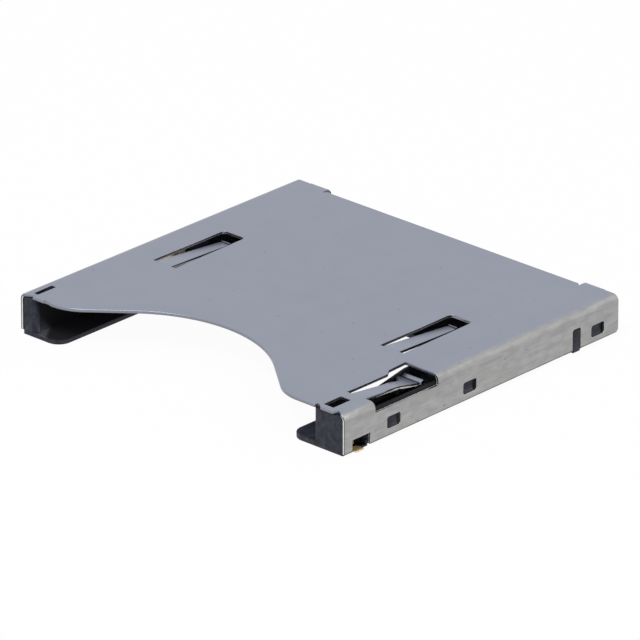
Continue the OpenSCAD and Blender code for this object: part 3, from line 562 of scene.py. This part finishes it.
def rolled_finish(name, plate, wall, half_w, bend_r, creases, shaded_edge, foot):
    """Rolled sheet: cool and even on the flat, warm and streaky where the bending die went over it, with a
    dark line along the wall's sinking foot. The cool flat and warm wall are partly painted reflection of the
    room, in their base tones. The creases across the finger and the tongues are painted black shade, and so
    is the finger's side, past a side and below the plate."""
    finish, shader, draw, place = new_finish(name)
    film_tone, smear_tone = (0.388, 0.383, 0.352, 1), (0.24, 0.235, 0.23, 1)
    foot_line_tone, crease_shade_tone, pit_tone = (0.1, 0.1, 0.105, 1), (0.02, 0.02, 0.022, 1), (0.1, 0.1, 0.11, 1)
    axes = {axis: draw.node("ShaderNodeSeparateXYZ", values={"Vector": place}, out=axis) for axis in "XYZ"}
    bent = rise(draw, draw.math("ABSOLUTE", axes["X"]), half_w - 1.3 * bend_r, half_w - 0.3 * bend_r)
    clouds = noise(draw, place, 2.2 * MM)
    rolled = noise(draw, place, 0.05 * MM, stretch=(1, 30, 1), detail=2.0)
    mottle = noise(draw, place, 0.22 * MM, detail=2.0)
    streaks = noise(draw, place, 0.2 * MM, stretch=(1, 14, 1))
    scores = noise(draw, place, 0.1 * MM, stretch=(1, 1, 9))
    pits = rise(draw, noise(draw, place, 0.35 * MM, detail=0.0), 0.82, 0.86)
    die_mark = rise(draw, axes["Z"], 1.9 * MM, 2.2 * MM) * (1 - rise(draw, axes["Z"], 2.3 * MM, 2.5 * MM))
    film = rise(draw, noise(draw, place, 1.6 * MM, stretch=(1, 3, 0.6)), 0.45, 0.7)
    flat_tone = tint(draw, clouds * 0.5 + mottle * 0.2 + rolled * 0.3, *plate)
    blotches = rise(draw, noise(draw, place, 0.45 * MM, stretch=(1, 2, 1)), 0.35, 0.65)
    drawn = rise(draw, streaks * 0.8 + scores * 0.2, 0.3, 0.7)
    wall_tone = tint(draw, drawn * 0.6 + blotches * 0.4, *wall)
    wall_tone = tint(draw, film * 0.3, wall_tone, film_tone)
    smear = die_mark * rise(draw, streaks, 0.48, 0.62)
    wall_tone = tint(draw, smear * 0.5, wall_tone, smear_tone)
    # A dark line along the wall's foot, which sinks towards the front.
    foot_z, foot_slope, foot_end = foot
    sunk = draw.math("MAXIMUM", (foot_end - axes["Y"]) * foot_slope, 0)
    foot_line = 1 - rise(draw, axes["Z"] + sunk, foot_z + 0.06 * MM, foot_z + 0.11 * MM)
    foot_line = foot_line * (rise(draw, streaks, 0.42, 0.58) * 0.5 + 0.5)
    wall_tone = tint(draw, foot_line, wall_tone, foot_line_tone)
    # The cool flat against the warm wall is partly painted reflection of the room.
    tone = tint(draw, bent, flat_tone, wall_tone)
    sprung = (1 - rise(draw, axes["Z"], 2.5 * MM, 2.6 * MM)) * (1 - bent)
    # Painted shade: the creases across the finger and the tongues are painted black.
    for crease in creases:
        mark = 1 - rise(draw, draw.math("ABSOLUTE", axes["Y"] - crease), 0.04 * MM, 0.1 * MM)
        tone = tint(draw, mark * sprung * 0.95, tone, crease_shade_tone)
    # Painted shade: the finger's side, past side_x and below the plate, is painted black.
    side_x, start_y, end_y, top_z = shaded_edge
    wear_and_shade = rise(draw, axes["X"], side_x - 0.06 * MM, side_x - 0.03 * MM) * (1 - bent)
    wear_and_shade = wear_and_shade * rise(draw, axes["Y"], start_y, start_y + 0.6 * MM)
    wear_and_shade = wear_and_shade * (1 - rise(draw, axes["Y"], end_y - 0.2 * MM, end_y))
    wear_and_shade = wear_and_shade * (1 - rise(draw, axes["Z"], top_z - 0.12 * MM, top_z - 0.06 * MM))
    tone = tint(draw, wear_and_shade, tone, shade_black)
    draw.feed(shader.inputs["Base Color"], tint(draw, pits * 0.4, tone, pit_tone))
    draw.feed(shader.inputs["Roughness"], rolled * 0.1 + mottle * 0.08 + bent * streaks * 0.2 + 0.26)
    shader.inputs["Metallic"].default_value = 1
    roughen(draw, shader, rolled * 0.4 + streaks * bent * 0.5 - pits, 0.004 * MM, 0.4)
    return finish


def sheared_finish(name, plate_z, burnished_reflection, torn_light_and_shade_tones):
    """Cut edge of the sheet: rolled over and burnished by the punch, torn below, with a dark burr. Its tones
    are painted light and shade. The burnished band is painted dark as a painted reflection, and as pale as
    the plate, as painted light, on the cuts that face up or to the front. The tear is painted palest on the
    walls' ends, and painted dark shade on the plate and towards the rear. The finger's side is painted black
    shade above its tear."""
    finish, shader, draw, place = new_finish(name)
    line_tone = (0.12, 0.12, 0.12, 1)
    depth, front, root_shade, wear_and_shade = [draw.node("ShaderNodeAttribute", {"attribute_name": mark}, out="Fac")
                                   for mark in ("depth", "front", "root_shade", "wear_and_shade")]
    along, height = [draw.node("ShaderNodeSeparateXYZ", values={"Vector": place}, out=axis) for axis in "YZ"]
    wander = noise(draw, place, 0.12 * MM) - 0.5
    lines = noise(draw, place, 0.03 * MM, stretch=(1, 1, 10), detail=2.0)
    # Painted shade: near the finger's root the dark band reaches deeper into the cut.
    level = depth + wander * 0.25 - front * 0.2 - root_shade * 0.6
    torn = rise(draw, level + wear_and_shade * 0.15, 0.45, 0.55) * (1 - rise(draw, level, 0.85, 0.97))
    on_plate = rise(draw, height, plate_z - 0.3 * MM, plate_z - 0.2 * MM)
    shaded = rise(draw, along, -4 * MM, -3.5 * MM)
    dim = draw.math("MAXIMUM", on_plate, shaded)
    # Painted reflection and light: the burnished band is dark, pale where the cut faces up or to the front,
    # and painted black shade on the finger's side.
    sheared = tint(draw, wear_and_shade, tint(draw, front, *burnished_reflection), shade_black)
    # Painted light and shade: the tear is pale where lit, dark on the plate and towards the rear.
    tone = tint(draw, torn, sheared, tint(draw, dim * (1 - wear_and_shade), *torn_light_and_shade_tones))
    draw.feed(shader.inputs["Base Color"], tint(draw, lines * 0.2, tone, line_tone))
    draw.feed(shader.inputs["Roughness"], torn * 0.36 + lines * 0.1 + 0.14)
    shader.inputs["Metallic"].default_value = 1
    roughen(draw, shader, lines * 0.5 + torn * wander, 0.006 * MM, 0.5)
    return finish


def roll_over(edge):
    """Share of rounding: full where the punch drew the skin down, little on the burred side."""
    depth = shell_form.loops.layers.float["depth"]
    cut = [loop for loop in edge.link_loops if loop.face.material_index == 1]
    return 1.0 if len(cut) == 1 and cut[0][depth] == 0 else 0.3


def shell_trim(form):
    """Lets the right wall's foot sink towards the front, cuts the tongues' turned-up tips short, and widens
    the slit beside the finger."""
    for vert in form.verts:
        x, y, z = vert.co
        on_foot = x > high.x - 1.5 * sheet_t and abs(z - wall_foot_z) < near and y < foot_end
        on_tip = tongue_tip_y < y < tongue_tip_y + sheet_t and high.z - 3 * sheet_t < z < high.z - sheet_t
        in_slit = slit_x[0] < x < slit_x[1] and slit_y[0] < y < slit_y[1]
        if on_foot:
            vert.co.z -= foot_drop * (foot_end - y) / (foot_end - low.y)
        if on_tip:
            vert.co -= tip_trim
        if in_slit and z > high.z - 1.1 * sheet_t:
            vert.co.x -= slit_trim


low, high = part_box("shell")
sheet_t, bend_r, sheet_edge_r = 0.2 * MM, 0.45 * MM, 0.036 * MM
wall_foot_z, foot_drop, foot_end = 0.3 * MM, 0.14 * MM, 8.135 * MM
tongue_tip_y, tip_trim = 2.4 * MM, Vector((0, 0.107, 0.054)) * MM
slit_x, slit_y, slit_trim = (11.2 * MM, 11.9 * MM), (-10.6 * MM, -4.3 * MM), 0.09 * MM
finger_side, finger_root, finger_clear, finger_l = 13.2 * MM, -10.335 * MM, -8.2 * MM, 4.9 * MM
# Span along the finger's side that is painted black shade.
shade_from, shade_to = -8.7 * MM, -5.2 * MM
finger_crease, tongue_crease = -5.335 * MM, 2.215 * MM
# The plate's cool blue tone against the wall's grey one is partly painted reflection of the room.
plate_tones = [(0.247, 0.266, 0.332, 1), (0.294, 0.318, 0.392, 1)]
wall_tones = [(0.31, 0.309, 0.31, 1), (0.434, 0.434, 0.438, 1)]
# Cut tones: the burnished band's dark tone is painted reflection, its pale one painted light; the tear's pale
# tone is painted light, its dark one painted shade.
burnished_reflection_tones = [(0.11, 0.11, 0.125, 1), (0.26, 0.277, 0.335, 1)]
torn_light_and_shade_tones = [(0.88, 0.87, 0.83, 1), (0.3, 0.3, 0.29, 1)]
rolled_steel = rolled_finish(
    "rolled_steel", plate_tones, wall_tones, high.x, bend_r, (finger_crease, tongue_crease),
    (finger_side, shade_from, shade_to, high.z), (wall_foot_z, foot_drop / (foot_end - low.y), foot_end))
sheared_steel = sheared_finish("sheared_steel", high.z, burnished_reflection_tones, torn_light_and_shade_tones)
shell_form = welded("shell")
cut_edges(shell_form, sheet_t, high.z, (finger_side, finger_root, finger_clear, finger_l))
shell_mesh = eased(
    shell_form, "shell_sheet", [rolled_steel, sheared_steel], sheet_edge_r, roll_over, shell_trim)
placed_piece("shell_sheet", shell_mesh, ["shell"], "socket")
